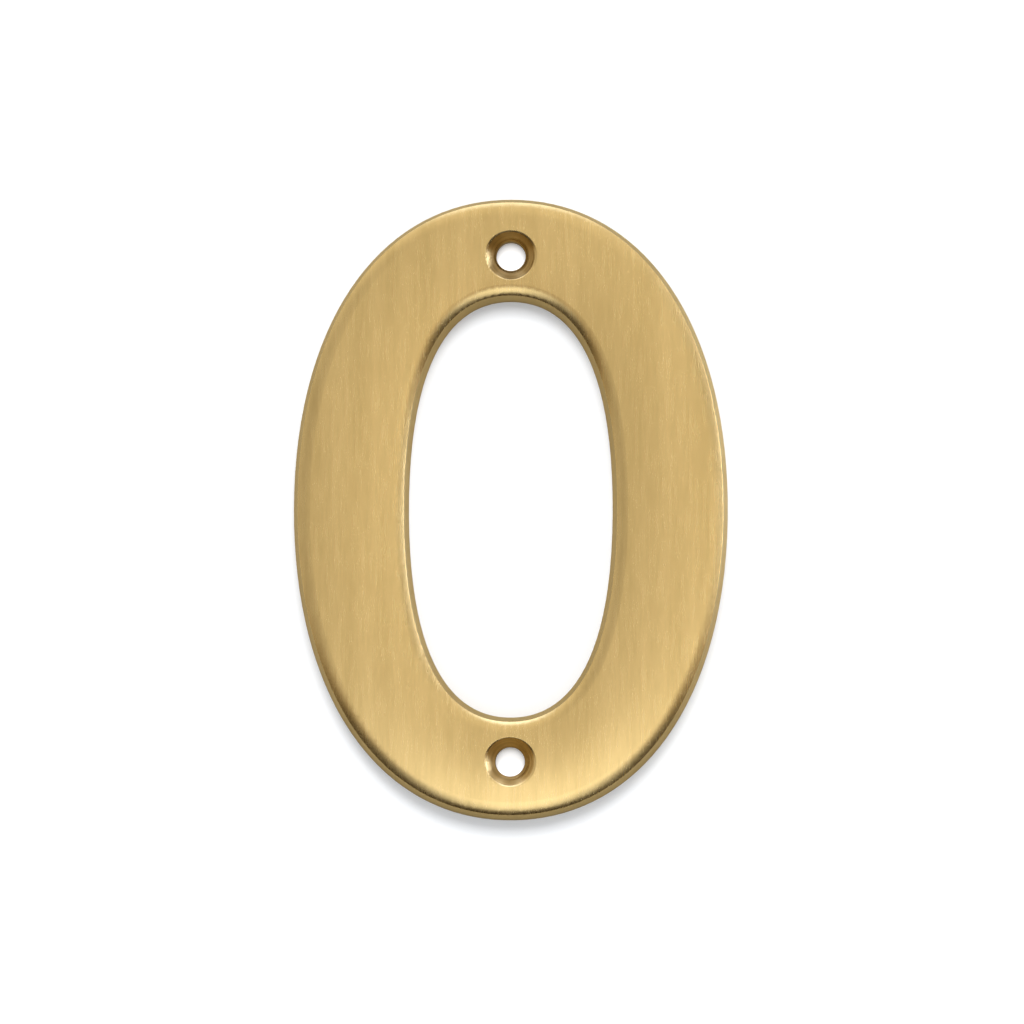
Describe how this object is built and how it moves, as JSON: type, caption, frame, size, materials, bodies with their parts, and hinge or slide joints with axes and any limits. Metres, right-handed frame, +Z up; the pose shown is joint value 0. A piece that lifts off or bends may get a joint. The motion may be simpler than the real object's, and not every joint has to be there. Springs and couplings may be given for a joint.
{
  "type": "house number",
  "caption": "Solid brass house number zero: an upright oval ring with a crowned, brushed face, drafted edges and countersunk screw holes, fixed flat to a door or wall.",
  "frame": {"origin": "on the flat back, midway between the two screw holes", "axes": "+Z up as the number hangs, +X to the right seen from the front, +Y into the wall behind it"},
  "size_m": [0.071, 0.0063, 0.1016],
  "materials": {
    "satin_brass": "satin, brushed up and down the face"
  },
  "bodies": {
    "root": {"numeral_zero": "satin_brass"}
  },
  "joints": []
}
